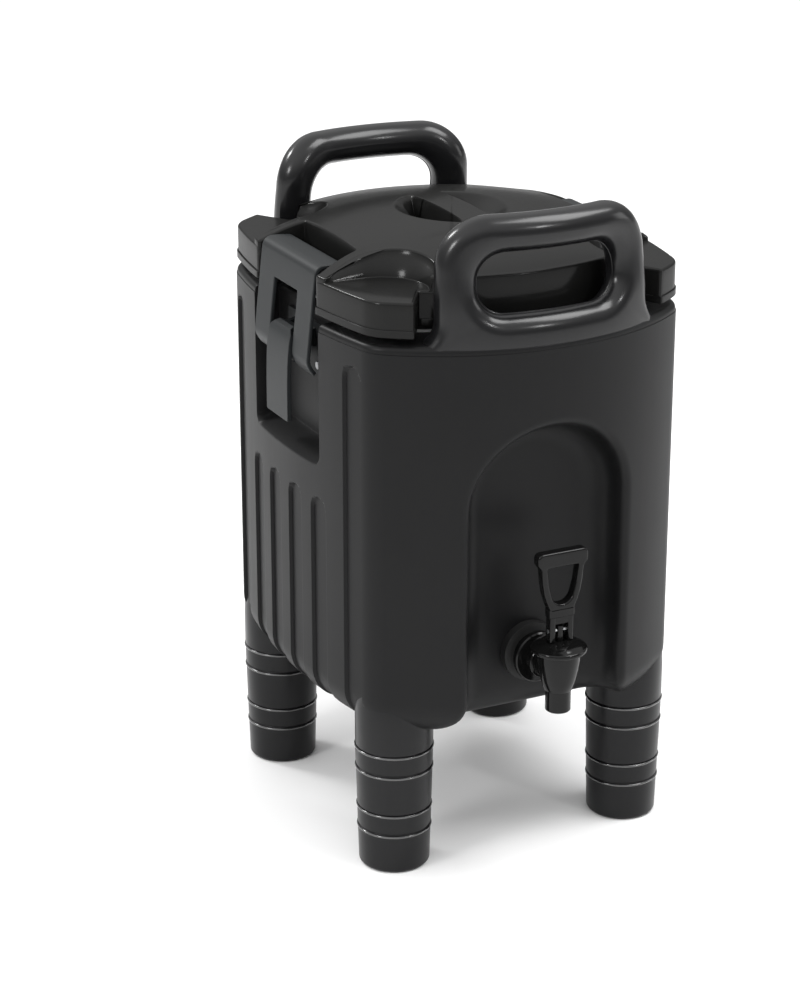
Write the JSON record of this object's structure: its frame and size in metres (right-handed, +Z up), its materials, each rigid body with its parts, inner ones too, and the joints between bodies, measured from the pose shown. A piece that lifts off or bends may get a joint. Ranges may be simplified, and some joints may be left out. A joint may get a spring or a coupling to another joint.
{
  "type": "insulated beverage dispenser",
  "caption": "Insulated drink dispenser on stacking legs, with a lift-off lid held by side latches, arched carrying handles and a lever tap in a front niche.",
  "frame": {"origin": "on the ground, at the middle of the whole outline with the tap and the latches counted in", "axes": "+Z up, -Y towards the tap at the front, +X towards the right-hand latch seen from the front"},
  "size_m": [0.2924, 0.369, 0.509],
  "materials": {
    "shell": "satin",
    "legs": "satin",
    "insulation": "matte",
    "liner": "satin",
    "lid": "satin",
    "latch": "satin",
    "pins": "satin",
    "tap": "gloss",
    "seal": "matte"
  },
  "bodies": {
    "base": {"body_shell": "shell", "foam_core": "insulation", "inner_tank": "liner", "leg_front_left_upper": "legs", "leg_front_left_lower": "legs", "leg_front_right_upper": "legs", "leg_front_right_lower": "legs", "leg_rear_left_upper": "legs", "leg_rear_left_lower": "legs", "leg_rear_right_upper": "legs", "leg_rear_right_lower": "legs", "latch_bracket_left": "latch", "latch_bracket_right": "latch", "bracket_screws": "pins", "pivot_pin_left": "pins", "pivot_pin_right": "pins", "tap_body": "tap", "tap_bonnet": "tap", "tap_outer_washer": "seal", "tap_inner_washer": "seal", "tap_nut": "liner"},
    "lid": {"lid_shell": "lid", "lid_foam": "insulation", "lid_liner": "liner", "lid_gasket": "seal"},
    "lever_left": {"latch_lever_left": "latch", "link_pin_left": "pins"},
    "lever_right": {"latch_lever_right": "latch", "link_pin_right": "pins"},
    "hook_left": {"latch_hook_left": "latch"},
    "hook_right": {"latch_hook_right": "latch"},
    "stem": {"tap_stem": "tap", "tap_seat_cup": "seal"},
    "handle": {"tap_handle": "tap", "tap_handle_pin": "pins"}
  },
  "joints": [
    {"name": "lid_lift", "type": "slide", "parent": "base", "child": "lid", "axis": [0, 0, 1], "range_m": [0, 0.036]},
    {"name": "lever_right_turn", "type": "hinge", "parent": "base", "child": "lever_right", "pos_m": [0.131, 0.0145, 0.395], "axis": [0, -1, 0], "range_deg": [0, 58]},
    {"name": "lever_left_turn", "type": "hinge", "parent": "base", "child": "lever_left", "pos_m": [-0.131, 0.0145, 0.395], "axis": [0, 1, 0], "range_deg": [0, 58]},
    {"name": "hook_right_turn", "type": "hinge", "parent": "lever_right", "child": "hook_right", "pos_m": [0.1325, 0.0145, 0.38007], "axis": [0, 1, 0], "range_deg": [0, 145]},
    {"name": "hook_left_turn", "type": "hinge", "parent": "lever_left", "child": "hook_left", "pos_m": [-0.1325, 0.0145, 0.38007], "axis": [0, -1, 0], "range_deg": [0, 145]},
    {"name": "stem_lift", "type": "slide", "parent": "base", "child": "stem", "axis": [0, 0, 1], "range_m": [0, 0.007], "stiffness_N_per_m": 600},
    {"name": "handle_pull", "type": "hinge", "parent": "stem", "child": "handle", "pos_m": [0, -0.1635, 0.1988], "axis": [1, 0, 0], "range_deg": [0, 45.5]}
  ],
  "couplings": [
    {"joint": "lever_right_turn", "follows": "lid_lift", "rad_per_m": 27.925},
    {"joint": "lever_left_turn", "follows": "lid_lift", "rad_per_m": 27.925},
    {"joint": "hook_right_turn", "follows": "lid_lift", "rad_per_m": 69.813},
    {"joint": "hook_left_turn", "follows": "lid_lift", "rad_per_m": 69.813},
    {"joint": "handle_pull", "follows": "stem_lift", "rad_per_m": 112.2}
  ]
}
